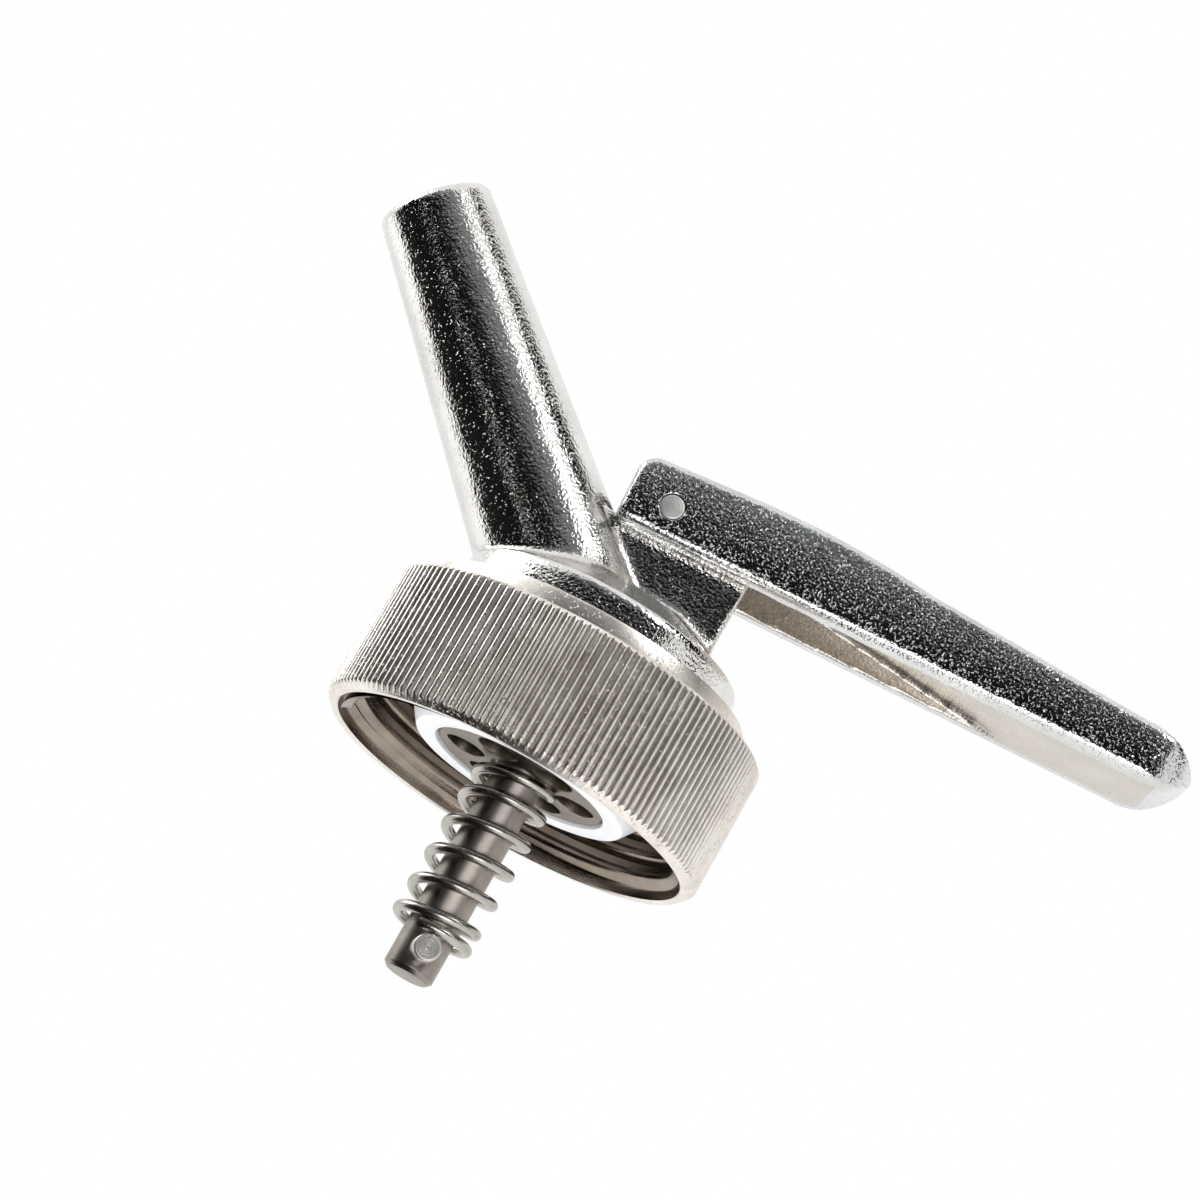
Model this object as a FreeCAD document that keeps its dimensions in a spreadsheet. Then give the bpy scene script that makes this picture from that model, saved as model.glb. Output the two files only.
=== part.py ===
import FreeCAD
import Part
import Sketcher
import math
import os

# A self-closing dosing tap for a canister neck: a cast body with a slanted spout, a loose
# union nut, a perforated valve insert, a spring-loaded stem and a rocking lever.
# +Z runs up the stem axis from the container to the lever, +X points along the lever, and
# the origin is on the stem axis in the plane of the nut's mouth. Millimetres and degrees.

SIZES = [
    ("nut_radius", 29.0),          # over the knurl
    ("nut_height", 20.0),          # knurled rim of the nut
    ("nut_edge", 0.7),             # chamfers of the nut's rim
    ("mouth_wall", 2.3),           # knurl to the smooth counterbore at the nut's mouth
    ("mouth_depth", 2.4),
    ("thread_wall", 3.8),          # knurl to the mean radius of the nut's thread
    ("hub_step", 4.6),             # knurl to the smooth turned hub above it
    ("hub_top", 23.4),
    ("neck_gap", 0.4),             # radial play of the nut on the neck
    ("face_gap", 0.3),             # axial play of the nut on the collar
    ("collar_ledge", 3.0),         # collar to the neck above it
    ("neck_top", 28.2),
    ("neck_corner", 1.2),
    ("collar_play", 1.2),          # thread to the collar that the nut pulls down
    ("seat_lift", 1.1),            # seat above the collar's lower side
    ("collar_top", 17.4),
    ("shoulder_radius", 11.0),     # top of the cast shoulder
    ("shoulder_top", 32.6),
    ("sleeve_step", 4.6),          # neck to the sleeve that takes the insert
    ("sleeve_bottom", 7.2),
    ("sleeve_wall", 2.25),         # sleeve to the threaded part of the insert
    ("neck_wall", 3.8),            # neck to the chamber
    ("chamber_top", 24.2),
    ("chamber_corner", 2.0),
    ("spout_root", 22.5),          # where the spout axis crosses the stem axis
    ("spout_lean", 46.9),
    ("spout_length", 69.7),        # along the spout axis
    ("spout_base_radius", 11.0),
    ("spout_tip_radius", 8.15),
    ("spout_edge", 1.2),
    ("spout_bore_radius", 5.9),
    ("spout_start", 5.0),
    ("root_pocket_radius", 6.5),   # cast pocket where the drilled spout meets the chamber
    ("root_pocket_depth", 11.5),
    ("web_thickness", 12.8),       # fin that guides and carries the lever
    ("web_reach", 14.6),
    ("web_foot", 26.5),
    ("web_top", 41.8),             # flat round the gland
    ("web_heel", 8.0),
    ("nose_start", 6.6),           # raised end of the fin that the lever rocks on
    ("nose_gap", 0.2),
    ("nose_round", 1.5),
    ("stem_radius", 3.7),          # lower stem, on the container side
    ("stem_neck_radius", 3.3),     # upper stem, through the gland
    ("stem_bottom", -28.5),
    ("stem_top", 47.6),
    ("stem_chamfer", 0.6),
    ("stem_collar_radius", 5.0),
    ("stem_collar_height", 1.3),
    ("running_gap", 0.05),         # radial clearance of sliding fits
    ("gland_radius", 4.9),
    ("gland_floor", 36.0),
    ("ring_gap", 0.05),            # axial gaps between the gland rings
    ("spacer_height", 0.8),
    ("bush_flange_radius", 5.7),
    ("bush_flange_height", 0.8),
    ("spot_face_radius", 6.0),     # cut round the gland, into the foot of the spout
    ("seat_height", 14.6),         # plane of the valve seat
    ("insert_bottom", 3.6),
    ("plate_thickness", 3.6),
    ("plate_step", 1.0),           # insert's thread to the rim of the perforated face
    ("plate_chamfer", 0.5),
    ("barrel_wall", 2.4),          # insert's thread to its bore
    ("flow_hole_margin", 0.475),   # bars left beside each flow hole
    ("flow_hole_inset", 0.075),    # flow holes nearer to the hub by this
    ("flow_hole_count", 6.0),
    ("flow_hole_chamfer", 0.45),
    ("hub_bore_radius", 4.65),     # seat of the guide bush in the plate
    ("hub_boss_radius", 5.6),
    ("hub_boss_height", 3.4),
    ("guide_recess", 0.6),
    ("seal_face", 3.2),            # lower face of the cone seal
    ("seal_land", 3.05),           # flat face of the seal round the plate
    ("seal_play", 2.6),            # thread to the seal's rim
    ("seal_rim", 1.15),            # straight rim above the cone
    ("seal_gap", 0.05),
    ("rib_depth", 0.4),            # snap rib of the seal in the insert's groove
    ("rib_height", 0.9),
    ("rib_start", 1.6),
    ("washer_overlap", 1.65),      # washer over the seat's bore
    ("washer_height", 2.0),
    ("disc_lip", 0.5),             # disc over the washer
    ("disc_height", 2.2),
    ("clip_height", 0.8),
    ("clip_radius", 5.2),
    ("clip_groove_depth", 0.4),
    ("spring_wire_radius", 0.8),
    ("spring_radius", 5.55),       # to the middle of the wire
    ("spring_closed_pitch", 1.7),
    ("spring_coils", 4.0),         # open coils between the closed end and the upper coils
    ("spring_upper_coils", 1.25),
    ("spring_upper_pitch", 3.4),
    ("spring_turn", 250.0),        # where the wire starts, about the stem
    ("cross_pin_radius", 1.95),
    ("cross_pin_height", -24.8),
    ("cross_pin_half_length", 6.4),
    ("cross_pin_turn", 7.0),       # the cross pin's turn about the stem
    ("pin_radius", 1.8),           # pin that joins lever and stem
    ("pin_height", 45.3),
    ("pin_sink", 0.05),            # the pin ends just under the lever's cheeks
    ("pin_chamfer", 0.2),
    ("lever_tilt", 3.15),          # rest slope of the lever, rising away from the stem
    ("lever_width", 20.0),
    ("lever_drop", 4.63),          # underside below the pin
    ("lever_heel", 6.7),           # end of the lever behind the pin
    ("heel_height", 6.0),          # top of the lever above the pin at its heel
    ("heel_round", 3.0),
    ("heel_lower_round", 1.4),
    ("crown_start", 12.0),         # where the humped back begins and ends
    ("crown_start_height", 6.95),
    ("crown_end", 38.0),
    ("crown_end_height", 5.6),
    ("crown_radius", 136.0),
    ("tail_start", 71.5),          # where the back turns down to the nose
    ("tail_height", 3.3),
    ("nose_reach", 82.0),
    ("nose_height", -0.9),
    ("nose_upper_radius", 13.0),
    ("nose_lower_start", 73.5),
    ("nose_lower_radius", 9.5),
    ("plan_round", 8.0),           # corners of the lever's nose seen from above
    ("channel_width", 13.4),
    ("channel_height", 3.774),     # channel roof above the pin
    ("channel_fall", 8.25),        # the roof falls towards the nose
    ("lever_edge", 1.2),           # rounding of the cast edges
]

# Radii and heights that follow from the sizes above: each is its neighbour's less a wall or play.
FOLLOWING = [
    ("mouth_radius", "nut_radius - mouth_wall"),
    ("nut_bore_radius", "nut_radius - thread_wall"),
    ("hub_radius", "nut_radius - hub_step"),
    ("collar_radius", "nut_bore_radius - collar_play"),
    ("neck_radius", "collar_radius - collar_ledge"),
    ("chamber_radius", "neck_radius - neck_wall"),
    ("sleeve_radius", "neck_radius - sleeve_step"),
    ("insert_radius", "sleeve_radius - sleeve_wall"),
    ("barrel_bore_radius", "insert_radius - barrel_wall"),
    ("plate_radius", "insert_radius - plate_step"),
    ("washer_radius", "barrel_bore_radius + washer_overlap"),
    ("disc_radius", "washer_radius + disc_lip"),
    ("seal_face_radius", "plate_radius + seal_land"),
    ("seal_radius", "nut_bore_radius - seal_play"),
    ("flow_hole_radius", "(barrel_bore_radius - hub_boss_radius) / 2 - flow_hole_margin"),
    ("flow_hole_circle", "(barrel_bore_radius + hub_boss_radius) / 2 - flow_hole_inset"),
    ("collar_bottom", "seat_height - seat_lift"),
]

doc = FreeCAD.newDocument("dosing_tap")
sheet = doc.addObject("Spreadsheet::Sheet", "Sizes")
for row, (alias, content) in enumerate(SIZES + FOLLOWING, start=1):
    sheet.set(f"A{row}", alias)
    sheet.setAlias(f"B{row}", alias)
    sheet.set(f"B{row}", f"={content}")
doc.recompute()


def size(expression):
    """The present value of an expression in the sheet's names."""
    return float(doc.getObject("Sizes").evalExpression(expression))


def bound(expression):
    """The same expression written for use in another object."""
    out = expression
    for alias in sorted((name for name, content in SIZES + FOLLOWING), key=len, reverse=True):
        out = out.replace(f"[{alias}]", f"Sizes.{alias}")
    return out


def plain(expression):
    return size(expression.replace("[", "").replace("]", ""))


def new_body(label):
    body = doc.addObject("PartDesign::Body", label)
    body.Label = label
    return body


def origin_plane(body, role):
    return [item for item in body.Origin.OriginFeatures if item.Role == role][0]


def new_sketch(body, name, role):
    sketch = body.newObject("Sketcher::SketchObject", name)
    sketch.AttachmentSupport = [(origin_plane(body, role), "")]
    sketch.MapMode = "FlatFace"
    return sketch


def pin_down(sketch, geometry, position, x, y):
    """Hold one point of the sketch at two sizes from the sheet."""
    for kind, expression in (("DistanceX", x), ("DistanceY", y)):
        index = sketch.addConstraint(
            Sketcher.Constraint(kind, -1, 1, geometry, position, plain(expression)))
        sketch.setExpression(f"Constraints[{index}]", bound(expression))


def outline(body, name, role, corners):
    """A closed outline, corner by corner and anticlockwise. A third entry is the radius of
    the arc to the next corner: it bulges outward, or inward where a fourth entry says so."""
    sketch = new_sketch(body, name, role)
    spots = [FreeCAD.Vector(plain(c[0]), plain(c[1]), 0) for c in corners]
    count = len(corners)
    pieces = []
    for i, corner in enumerate(corners):
        start, end = spots[i], spots[(i + 1) % count]
        if len(corner) == 2:
            pieces.append(Part.LineSegment(start, end))
            continue
        radius = plain(corner[2])
        half = (end - start) * 0.5
        side = FreeCAD.Vector(-half.y, half.x, 0)
        side.normalize()
        if len(corner) == 4:
            side = -side
        centre = start + half + side * math.sqrt(radius ** 2 - half.Length ** 2)
        pieces.append(Part.Arc(start, centre - side * radius, end))
    sketch.addGeometry(pieces)
    # An inward arc is stored from its end to its start.
    first = [2 if len(corner) == 4 else 1 for corner in corners]
    for i in range(count):
        following = (i + 1) % count
        sketch.addConstraint(
            Sketcher.Constraint("Coincident", i, 3 - first[i], following, first[following]))
    for i, corner in enumerate(corners):
        pin_down(sketch, i, first[i], corner[0], corner[1])
        if len(corner) > 2:
            index = sketch.addConstraint(Sketcher.Constraint("Radius", i, plain(corner[2])))
            sketch.setExpression(f"Constraints[{index}]", bound(corner[2]))
    return sketch


def circle(body, name, role, x, y, radius):
    sketch = new_sketch(body, name, role)
    centre = FreeCAD.Vector(plain(x), plain(y), 0)
    sketch.addGeometry(Part.Circle(centre, FreeCAD.Vector(0, 0, 1), plain(radius)))
    index = sketch.addConstraint(Sketcher.Constraint("Radius", 0, plain(radius)))
    sketch.setExpression(f"Constraints[{index}]", bound(radius))
    pin_down(sketch, 0, 3, x, y)
    return sketch


def turn(body, name, sketch, cut=False):
    """Turn an outline about its own upright axis, as solid or as hollow."""
    kind = "PartDesign::Groove" if cut else "PartDesign::Revolution"
    feature = body.newObject(kind, name)
    feature.Profile = sketch
    feature.ReferenceAxis = (sketch, ["V_Axis"])
    feature.Angle = 360
    return feature


def pad_middle(body, name, sketch, thickness, cut=False):
    """Pad or pocket an outline evenly to both sides of its plane."""
    feature = body.newObject("PartDesign::Pocket" if cut else "PartDesign::Pad", name)
    feature.Profile = sketch
    feature.SideType = "Symmetric"
    feature.setExpression("Length", bound(thickness))
    return feature


def lean_sketch(sketch, base, angle):
    """Move a sketch up its plane and turn it there."""
    sketch.setExpression("AttachmentOffset.Base.y", bound(base))
    sketch.setExpression("AttachmentOffset.Rotation.Angle", bound(angle))


def round_edges(body, name, radius, chosen):
    """Round the edges of the body's last feature that a test picks."""
    doc.recompute()
    base = body.Tip
    names = [f"Edge{i}" for i, edge in enumerate(base.Shape.Edges, start=1) if chosen(edge)]
    feature = body.newObject("PartDesign::Fillet", name)
    feature.Base = (base, names)
    feature.setExpression("Radius", bound(radius))
    return feature


# Union nut: turned and knurled, loose on the neck, pulled down on the body's collar.
nut = new_body("union_nut")
turn(nut, "NutTurned", outline(nut, "NutSection", "XZ_Plane", [
    ("[mouth_radius]", "0"),
    ("[nut_radius] - [nut_edge]", "0"),
    ("[nut_radius]", "[nut_edge]"),
    ("[nut_radius]", "[nut_height] - [nut_edge]"),
    ("[nut_radius] - [nut_edge]", "[nut_height]"),
    ("[hub_radius]", "[nut_height]"),
    ("[hub_radius]", "[hub_top] - [nut_edge] / 2"),
    ("[hub_radius] - [nut_edge] / 2", "[hub_top]"),
    ("[neck_radius] + [neck_gap]", "[hub_top]"),
    ("[neck_radius] + [neck_gap]", "[collar_top] + [face_gap]"),
    ("[nut_bore_radius]", "[collar_top] + [face_gap]"),
    ("[nut_bore_radius]", "[mouth_depth] + [mouth_radius] - [nut_bore_radius]"),
    ("[mouth_radius]", "[mouth_depth]"),
]))

# Cast body: neck and collar, shoulder, slanted spout and the fin under the lever.
casting = new_body("body_casting")
turn(casting, "NeckTurned", outline(casting, "NeckSection", "XZ_Plane", [
    ("0", "[sleeve_bottom]"),
    ("[sleeve_radius]", "[sleeve_bottom]"),
    ("[sleeve_radius]", "[collar_bottom]"),
    ("[collar_radius]", "[collar_bottom]"),
    ("[collar_radius]", "[collar_top]"),
    ("[neck_radius]", "[collar_top]"),
    ("[neck_radius]", "[neck_top] - [neck_corner]", "[neck_corner]"),
    ("[neck_radius] - [neck_corner]", "[neck_top]"),
    ("[shoulder_radius]", "[shoulder_top]"),
    ("0", "[shoulder_top]"),
]))
spout_section = outline(casting, "SpoutSection", "XZ_Plane", [
    ("0", "[spout_start]"),
    ("[spout_base_radius]", "[spout_start]"),
    ("[spout_tip_radius]", "[spout_length] - [spout_edge]", "[spout_edge]"),
    ("[spout_tip_radius] - [spout_edge]", "[spout_length]"),
    ("0", "[spout_length]"),
])
lean_sketch(spout_section, "[spout_root]", "[spout_lean]")
turn(casting, "Spout", spout_section)
nose_top = (
    "[pin_height] + [channel_height] * cos([channel_fall]) / cos([channel_fall] - [lever_tilt])"
    " - ([web_reach] - [nose_round]) * tan([channel_fall] - [lever_tilt]) - [nose_gap]")
pad_middle(casting, "Fin", outline(casting, "FinSide", "XZ_Plane", [
    ("-[web_heel]", "[web_foot]"),
    ("[web_reach]", "[web_foot]"),
    ("[web_reach]", nose_top + " - [nose_round]", "[nose_round]"),
    ("[web_reach] - [nose_round]", nose_top),
    ("[nose_start] + [nose_round]", nose_top, "[nose_round]"),
    ("[nose_start]", nose_top + " - [nose_round]"),
    ("[nose_start]", "[web_top]"),
    ("-[web_heel]", "[web_top]"),
]), "[web_thickness]")
turn(casting, "Chamber", outline(casting, "ChamberSection", "XZ_Plane", [
    ("0", "[sleeve_bottom] - 1"),
    ("[insert_radius]", "[sleeve_bottom] - 1"),
    ("[insert_radius]", "[seat_height]"),
    ("[chamber_radius]", "[seat_height]"),
    ("[chamber_radius]", "[chamber_top] - [chamber_corner]", "[chamber_corner]"),
    ("[chamber_radius] - [chamber_corner]", "[chamber_top]"),
    ("0", "[chamber_top]"),
]), cut=True)
bore_section = outline(casting, "SpoutBoreSection", "XZ_Plane", [
    ("0", "0"),
    ("[root_pocket_radius]", "0"),
    ("[root_pocket_radius]", "[root_pocket_depth]"),
    ("[spout_bore_radius]", "[root_pocket_depth]"),
    ("[spout_bore_radius]", "[spout_length] + 1"),
    ("0", "[spout_length] + 1"),
])
lean_sketch(bore_section, "[spout_root]", "[spout_lean]")
turn(casting, "SpoutBore", bore_section, cut=True)
turn(casting, "StemBore", outline(casting, "StemBoreSection", "XZ_Plane", [
    ("0", "[chamber_top] - 1"),
    ("[stem_neck_radius] + [running_gap]", "[chamber_top] - 1"),
    ("[stem_neck_radius] + [running_gap]", "[gland_floor]"),
    ("[gland_radius]", "[gland_floor]"),
    ("[gland_radius]", "[web_top]"),
    ("[spot_face_radius]", "[web_top]"),
    ("[spot_face_radius]", "[web_top] + 2 * [bush_flange_height]"),
    ("0", "[web_top] + 2 * [bush_flange_height]"),
]), cut=True)

# Valve insert: perforated plate, threaded barrel and the valve seat at its upper rim.
insert = new_body("valve_insert")
turn(insert, "InsertTurned", outline(insert, "InsertSection", "XZ_Plane", [
    ("[hub_bore_radius]", "[insert_bottom] + [guide_recess]"),
    ("[hub_bore_radius]", "[insert_bottom]"),
    ("[plate_radius] - [plate_chamfer]", "[insert_bottom]"),
    ("[plate_radius]", "[insert_bottom] + [plate_chamfer]"),
    ("[plate_radius]", "[insert_bottom] + [rib_start]"),
    ("[plate_radius] - [rib_depth]", "[insert_bottom] + [rib_start]"),
    ("[plate_radius] - [rib_depth]", "[insert_bottom] + [rib_start] + [rib_height]"),
    ("[plate_radius]", "[insert_bottom] + [rib_start] + [rib_height]"),
    ("[plate_radius]", "[sleeve_bottom]"),
    ("[insert_radius]", "[sleeve_bottom]"),
    ("[insert_radius]", "[seat_height]"),
    ("[barrel_bore_radius]", "[seat_height]"),
    ("[barrel_bore_radius]", "[insert_bottom] + [plate_thickness]"),
    ("[hub_boss_radius]", "[insert_bottom] + [plate_thickness]"),
    ("[hub_boss_radius]", "[insert_bottom] + [plate_thickness] + [hub_boss_height]"),
    ("[hub_bore_radius]", "[insert_bottom] + [plate_thickness] + [hub_boss_height]"),
]))
hole_section = outline(insert, "FlowHoleSection", "XZ_Plane", [
    ("0", "[insert_bottom] - 1"),
    ("[flow_hole_radius] + [flow_hole_chamfer] + 1", "[insert_bottom] - 1"),
    ("[flow_hole_radius]", "[insert_bottom] + [flow_hole_chamfer]"),
    ("[flow_hole_radius]", "[insert_bottom] + [plate_thickness] + 1"),
    ("0", "[insert_bottom] + [plate_thickness] + 1"),
])
hole_section.setExpression("AttachmentOffset.Base.x", "Sizes.flow_hole_circle")
flow_hole = turn(insert, "FlowHole", hole_section, cut=True)
flow_holes = insert.newObject("PartDesign::PolarPattern", "FlowHoles")
flow_holes.Originals = [flow_hole]
flow_holes.Axis = (origin_plane(insert, "Z_Axis"), [""])
flow_holes.Angle = 360
flow_holes.setExpression("Occurrences", "Sizes.flow_hole_count")
insert.Tip = flow_holes

# Guide bush: a plastic sleeve in the plate's hub that centres the stem.
guide = new_body("stem_guide")
turn(guide, "GuideTurned", outline(guide, "GuideSection", "XZ_Plane", [
    ("[stem_radius] + [running_gap]", "[insert_bottom] + [guide_recess]"),
    ("[hub_bore_radius]", "[insert_bottom] + [guide_recess]"),
    ("[hub_bore_radius]", "[insert_bottom] + [plate_thickness] + [hub_boss_height]"),
    ("[stem_radius] + [running_gap]", "[insert_bottom] + [plate_thickness] + [hub_boss_height]"),
]))

# Cone seal: white plastic ring snapped on the insert, pressed into the container's neck.
seal = new_body("cone_seal")
turn(seal, "SealTurned", outline(seal, "SealSection", "XZ_Plane", [
    ("[plate_radius]", "[seal_face]"),
    ("[seal_face_radius]", "[seal_face]"),
    ("[seal_radius]", "[collar_bottom] - [seal_rim]"),
    ("[seal_radius]", "[collar_bottom]"),
    ("[sleeve_radius] + [seal_gap]", "[collar_bottom]"),
    ("[sleeve_radius] + [seal_gap]", "[sleeve_bottom] - [seal_gap]"),
    ("[plate_radius]", "[sleeve_bottom] - [seal_gap]"),
    ("[plate_radius]", "[insert_bottom] + [rib_start] + [rib_height]"),
    ("[plate_radius] - [rib_depth]", "[insert_bottom] + [rib_start] + [rib_height]"),
    ("[plate_radius] - [rib_depth]", "[insert_bottom] + [rib_start]"),
    ("[plate_radius]", "[insert_bottom] + [rib_start]"),
]))

# Stem: stepped rod with a collar under the valve, a clip groove and two cross holes.
stem = new_body("valve_stem")
turn(stem, "StemTurned", outline(stem, "StemSection", "XZ_Plane", [
    ("0", "[stem_bottom]"),
    ("[stem_radius] - [stem_chamfer]", "[stem_bottom]"),
    ("[stem_radius]", "[stem_bottom] + [stem_chamfer]"),
    ("[stem_radius]", "[seat_height] - [stem_collar_height]"),
    ("[stem_collar_radius]", "[seat_height] - [stem_collar_height]"),
    ("[stem_collar_radius]", "[seat_height]"),
    ("[stem_neck_radius]", "[seat_height]"),
    ("[stem_neck_radius]", "[seat_height] + [washer_height] + [disc_height]"),
    ("[stem_neck_radius] - [clip_groove_depth]", "[seat_height] + [washer_height] + [disc_height]"),
    ("[stem_neck_radius] - [clip_groove_depth]",
     "[seat_height] + [washer_height] + [disc_height] + [clip_height]"),
    ("[stem_neck_radius]", "[seat_height] + [washer_height] + [disc_height] + [clip_height]"),
    ("[stem_neck_radius]", "[stem_top] - [stem_chamfer]"),
    ("[stem_neck_radius] - [stem_chamfer]", "[stem_top]"),
    ("0", "[stem_top]"),
]))
link_hole = circle(stem, "LinkHoleCircle", "XZ_Plane", "0", "[pin_height]",
                   "[pin_radius] + [running_gap]")
pad_middle(stem, "LinkHole", link_hole, "4 * [stem_radius]", cut=True)
cross_hole = circle(stem, "CrossHoleCircle", "XZ_Plane", "0", "[cross_pin_height]",
                    "[cross_pin_radius]")
cross_hole.AttachmentOffset = FreeCAD.Placement(
    FreeCAD.Vector(), FreeCAD.Rotation(FreeCAD.Vector(0, 1, 0), size("cross_pin_turn")))
cross_hole.setExpression("AttachmentOffset.Rotation.Angle", "Sizes.cross_pin_turn")
pad_middle(stem, "CrossHole", cross_hole, "4 * [stem_radius]", cut=True)

# Valve washer and disc, held on the stem between its collar and a clip.
washer = new_body("valve_washer")
turn(washer, "WasherTurned", outline(washer, "WasherSection", "XZ_Plane", [
    ("[stem_neck_radius]", "[seat_height]"),
    ("[washer_radius]", "[seat_height]"),
    ("[washer_radius]", "[seat_height] + [washer_height]"),
    ("[stem_neck_radius]", "[seat_height] + [washer_height]"),
]))
disc = new_body("valve_disc")
turn(disc, "DiscTurned", outline(disc, "DiscSection", "XZ_Plane", [
    ("[stem_neck_radius]", "[seat_height] + [washer_height]"),
    ("[disc_radius]", "[seat_height] + [washer_height]"),
    ("[disc_radius]", "[seat_height] + [washer_height] + [disc_height] / 2"),
    ("[clip_radius] + 1", "[seat_height] + [washer_height] + [disc_height]"),
    ("[stem_neck_radius]", "[seat_height] + [washer_height] + [disc_height]"),
]))
clip = new_body("stem_clip")
turn(clip, "ClipTurned", outline(clip, "ClipSection", "XZ_Plane", [
    ("[stem_neck_radius] - [clip_groove_depth]", "[seat_height] + [washer_height] + [disc_height]"),
    ("[clip_radius]", "[seat_height] + [washer_height] + [disc_height]"),
    ("[clip_radius]", "[seat_height] + [washer_height] + [disc_height] + [clip_height]"),
    ("[stem_neck_radius] - [clip_groove_depth]",
     "[seat_height] + [washer_height] + [disc_height] + [clip_height]"),
]))
clip_mouth = outline(clip, "ClipMouth", "XY_Plane", [
    ("0", "-[stem_neck_radius] * 0.7"),
    ("[clip_radius] + 1", "-[stem_neck_radius] * 0.9"),
    ("[clip_radius] + 1", "[stem_neck_radius] * 0.9"),
    ("0", "[stem_neck_radius] * 0.7"),
])
pad_middle(clip, "ClipOpening", clip_mouth, "4 * [seat_height]", cut=True)

# Gland: two O-rings with a spacer between them under a flanged bush, round the upper stem.
ring_section = "([gland_radius] - [stem_neck_radius]) / 2 - [running_gap] / 2"
ring_middle = "([gland_radius] + [stem_neck_radius]) / 2"
first_ring = "[gland_floor] + [ring_gap] + " + ring_section
spacer_bottom = "[gland_floor] + 2 * [ring_gap] + 2 * (" + ring_section + ")"
second_ring = spacer_bottom + " + [spacer_height] + [ring_gap] + " + ring_section
bush_bottom = spacer_bottom + " + [spacer_height] + 2 * [ring_gap] + 2 * (" + ring_section + ")"
for label, height in (("lower_o_ring", first_ring), ("upper_o_ring", second_ring)):
    ring = new_body(label)
    turn(ring, label + "_turned",
         circle(ring, label + "_section", "XZ_Plane", ring_middle, height, ring_section))
spacer = new_body("gland_spacer")
turn(spacer, "SpacerTurned", outline(spacer, "SpacerSection", "XZ_Plane", [
    ("[stem_neck_radius] + [running_gap]", spacer_bottom),
    ("[gland_radius]", spacer_bottom),
    ("[gland_radius]", spacer_bottom + " + [spacer_height]"),
    ("[stem_neck_radius] + [running_gap]", spacer_bottom + " + [spacer_height]"),
]))
bush = new_body("gland_bush")
turn(bush, "BushTurned", outline(bush, "BushSection", "XZ_Plane", [
    ("[stem_neck_radius] + [running_gap]", bush_bottom),
    ("[gland_radius] - [running_gap]", bush_bottom),
    ("[gland_radius] - [running_gap]", "[web_top]"),
    ("[bush_flange_radius]", "[web_top]"),
    ("[bush_flange_radius]", "[web_top] + [bush_flange_height]"),
    ("[stem_neck_radius] + [running_gap]", "[web_top] + [bush_flange_height]"),
]))

# Cross pin through the lower stem: the spring's end rests on it.
cross_pin = doc.addObject("Part::Cylinder", "spring_cross_pin")
cross_pin.Label = "spring_cross_pin"
cross_pin.setExpression("Radius", "Sizes.cross_pin_radius")
cross_pin.setExpression("Height", "2 * Sizes.cross_pin_half_length")
cross_axis = FreeCAD.Rotation(FreeCAD.Vector(0, 0, 1), size("cross_pin_turn")).multiply(
    FreeCAD.Rotation(FreeCAD.Vector(1, 0, 0), 90))
cross_pin.Placement = FreeCAD.Placement(
    cross_axis.multVec(FreeCAD.Vector(0, 0, -size("cross_pin_half_length")))
    + FreeCAD.Vector(0, 0, size("cross_pin_height")), cross_axis)

# Spring: round wire with a closed coil on the cross pin, open coils, and closer ones at the plate.
wire = size("spring_wire_radius")
spring_bottom = size("cross_pin_height + cross_pin_radius") + wire
spring_top = size("insert_bottom") - wire
coil_radius = size("spring_radius")
closed_rise = size("spring_closed_pitch")
upper_rise = size("spring_upper_coils * spring_upper_pitch")
open_rise = spring_top - spring_bottom - closed_rise - upper_rise
closed_coil = Part.makeHelix(closed_rise, closed_rise, coil_radius)
open_coils = Part.makeHelix(open_rise / size("spring_coils"), open_rise, coil_radius)
open_coils.translate(FreeCAD.Vector(0, 0, closed_rise))
upper_coils = Part.makeHelix(size("spring_upper_pitch"), upper_rise, coil_radius)
upper_coils.rotate(FreeCAD.Vector(), FreeCAD.Vector(0, 0, 1), 360 * size("spring_coils"))
upper_coils.translate(FreeCAD.Vector(0, 0, closed_rise + open_rise))
spring_path = Part.Wire(closed_coil.Edges + open_coils.Edges + upper_coils.Edges)
start_point = FreeCAD.Vector(coil_radius, 0, 0)
start_run = FreeCAD.Vector(0, 2 * math.pi * coil_radius, closed_rise)
wire_section = Part.Wire(Part.makeCircle(wire, start_point, start_run))
spring = doc.addObject("Part::Feature", "return_spring")
spring.Label = "return_spring"
spring.Shape = spring_path.makePipeShell([wire_section], True, True)
spring.Placement = FreeCAD.Placement(
    FreeCAD.Vector(0, 0, spring_bottom),
    FreeCAD.Rotation(FreeCAD.Vector(0, 0, 1), size("spring_turn")))

# Lever: cast channel with a humped back, its roof falling to the flat underside of the nose.
lever = new_body("lever")
lever_side = outline(lever, "LeverSide", "XZ_Plane", [
    ("-[lever_heel] + [heel_lower_round]", "-[lever_drop]"),
    ("[nose_lower_start]", "-[lever_drop]", "[nose_lower_radius]"),
    ("[nose_reach]", "[nose_height]", "[nose_upper_radius]"),
    ("[tail_start]", "[tail_height]"),
    ("[crown_end]", "[crown_end_height]", "[crown_radius]"),
    ("[crown_start]", "[crown_start_height]"),
    ("-[lever_heel] + [heel_round]", "[heel_height]", "[heel_round]"),
    ("-[lever_heel]", "[heel_height] - [heel_round]"),
    ("-[lever_heel]", "-[lever_drop] + [heel_lower_round]", "[heel_lower_round]"),
])
lean_sketch(lever_side, "[pin_height]", "[lever_tilt]")
pad_middle(lever, "LeverBlock", lever_side, "[lever_width]")
round_edges(lever, "CastEdges", "[lever_edge]", lambda edge: edge.BoundBox.YLength < 0.01)
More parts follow.
